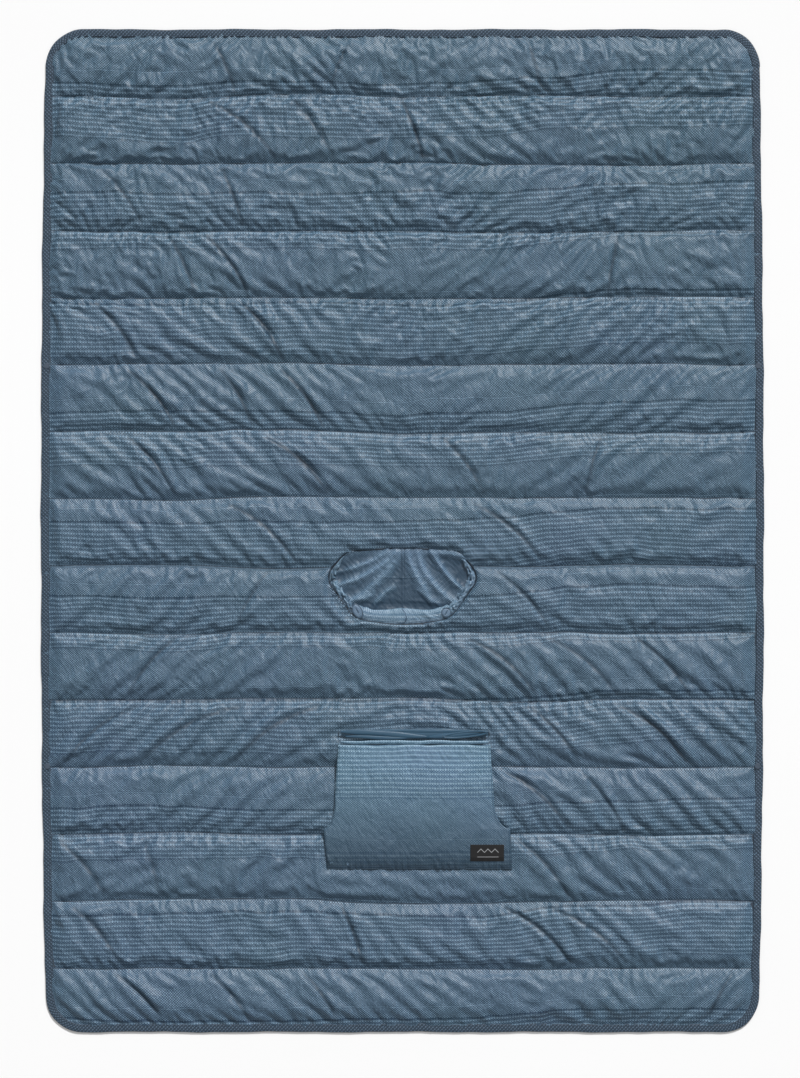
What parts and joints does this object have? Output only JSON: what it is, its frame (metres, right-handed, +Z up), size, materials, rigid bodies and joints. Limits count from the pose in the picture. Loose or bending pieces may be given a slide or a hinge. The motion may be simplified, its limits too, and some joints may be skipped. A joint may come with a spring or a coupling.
{
  "type": "wearable camp blanket",
  "caption": "Quilted rectangular camp blanket worn as a poncho, with a head opening, stowed hood, hand pocket and side snaps, lying flat.",
  "frame": {"origin": "on the ground under the centre of the flat blanket", "axes": "+X across the blanket to the wearer's left, +Y from the front hem to the back hem, +Z up through the outer shell"},
  "size_m": [1.442, 2, 0.0268],
  "materials": {
    "shell_print": "downproof woven polyester with a printed stripe and herringbone, slight sheen",
    "lining_cloth": "plain woven polyester, slight sheen",
    "insulation_fill": "lofted polyester fibre batting, matt",
    "binding_tape": "printed cloth cut on the bias and folded over the edge, matt",
    "thread": "spun polyester sewing thread, matt",
    "snap_plastic": "dull grey moulded acetal",
    "pocket_print": "the shell's printed cloth, slight sheen",
    "liner_cloth": "plain light blue taffeta, satin sheen",
    "label_weave": "black damask woven label, matt",
    "hood_print": "the shell's printed cloth, slight sheen",
    "elastic": "knitted flat elastic, matt"
  },
  "bodies": {
    "back_panel": {"back_outer_shell": "shell_print", "back_lining": "lining_cloth", "back_insulation_01": "insulation_fill", "back_insulation_02": "insulation_fill", "back_insulation_03": "insulation_fill", "back_insulation_04": "insulation_fill", "back_insulation_05": "insulation_fill", "back_insulation_06": "insulation_fill", "back_insulation_07": "insulation_fill", "back_insulation_08": "insulation_fill", "back_edge_binding": "binding_tape", "back_quilt_stitching": "thread", "back_neck_binding": "binding_tape", "back_snap_caps": "snap_plastic", "back_snap_posts": "snap_plastic", "back_snap_sockets": "snap_plastic"},
    "front_panel": {"front_outer_shell": "shell_print", "front_lining": "lining_cloth", "front_insulation_09": "insulation_fill", "front_insulation_10": "insulation_fill", "front_insulation_11": "insulation_fill", "front_insulation_12": "insulation_fill", "front_insulation_13": "insulation_fill", "front_insulation_14": "insulation_fill", "front_insulation_15": "insulation_fill", "front_edge_binding": "binding_tape", "front_quilt_stitching": "thread", "front_neck_binding": "binding_tape", "front_snap_caps": "snap_plastic", "front_snap_posts": "snap_plastic", "front_snap_studs": "snap_plastic", "pocket_panel": "pocket_print", "pocket_liner": "liner_cloth", "pocket_liner_lip": "liner_cloth", "pocket_top_hem": "pocket_print", "pocket_stitching": "thread", "pocket_bar_tacks": "thread", "label": "label_weave"},
    "hood": {"hood_left_panel": "hood_print", "hood_right_panel": "hood_print", "hood_seam_tape": "hood_print", "hood_hem": "hood_print", "hood_elastic": "elastic", "hood_buttonhole_patches": "hood_print"}
  },
  "joints": [
    {"name": "shoulder_fold", "type": "hinge", "parent": "back_panel", "child": "front_panel", "pos_m": [0, -0.07025, -0.0002], "axis": [1, 0, 0], "range_deg": [0, 180]},
    {"name": "hood_lift", "type": "hinge", "parent": "back_panel", "child": "hood", "pos_m": [0, -0.036, 0.018], "axis": [-1, 0, 0], "range_deg": [0, 180]}
  ]
}
